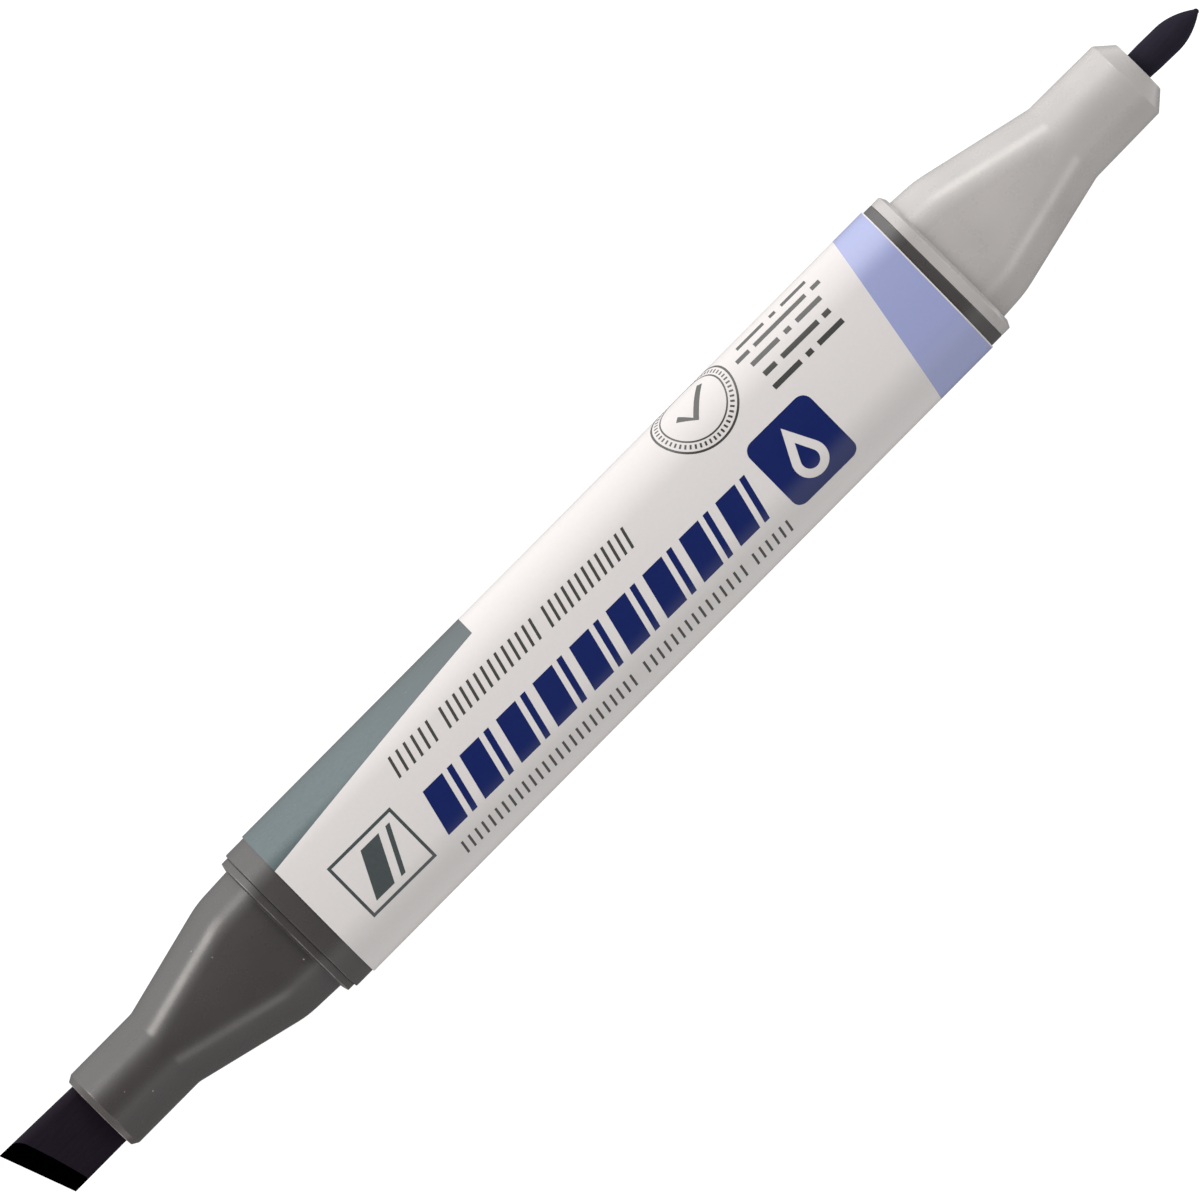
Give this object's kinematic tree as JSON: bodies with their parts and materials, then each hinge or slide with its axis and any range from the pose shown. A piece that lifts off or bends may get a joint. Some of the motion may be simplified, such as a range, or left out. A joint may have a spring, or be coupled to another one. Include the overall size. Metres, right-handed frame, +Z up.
{
  "type": "felt tip marker",
  "caption": "Uncapped twin-tip felt marker: oblong barrel with a printed sleeve, a chisel nib in a dark holder and a bullet nib in a light holder.",
  "frame": {"origin": "under the middle of the marker's length and width, on the surface that its flat back lies on", "axes": "+X along the marker to the fine tip, +Y across it to the nib's long corner, +Z up out of the wide front face"},
  "size_m": [0.141, 0.016, 0.012],
  "materials": {
    "dark_plastic": "satin moulded polypropylene, dark warm gray",
    "light_plastic": "satin moulded polypropylene, light warm gray",
    "label_film": "glossy printed film, white with a blue-violet band and a slate wedge",
    "clear_film": "thin clear wrapping film",
    "reservoir_fibre": "bonded polyester fibre soaked with pale blue-violet ink",
    "nib_felt": "dense black bonded fibre"
  },
  "bodies": {
    "barrel_body": {"barrel": "dark_plastic", "label_sleeve": "label_film", "reservoir_core": "reservoir_fibre", "reservoir_film": "clear_film"},
    "broad_unit": {"broad_holder": "dark_plastic"},
    "fine_unit": {"fine_holder": "light_plastic"},
    "broad_tip": {"broad_nib": "nib_felt"},
    "fine_tip": {"fine_nib": "nib_felt"}
  },
  "joints": [
    {"name": "broad_unit_pull", "type": "slide", "parent": "barrel_body", "child": "broad_unit", "axis": [-1, 0, 0], "range_m": [0, 0.014]},
    {"name": "fine_unit_pull", "type": "slide", "parent": "barrel_body", "child": "fine_unit", "axis": [1, 0, 0], "range_m": [0, 0.014]},
    {"name": "broad_nib_pull", "type": "slide", "parent": "broad_unit", "child": "broad_tip", "axis": [-1, 0, 0], "range_m": [0, 0.036]},
    {"name": "fine_nib_pull", "type": "slide", "parent": "fine_unit", "child": "fine_tip", "axis": [1, 0, 0], "range_m": [0, 0.037]}
  ]
}
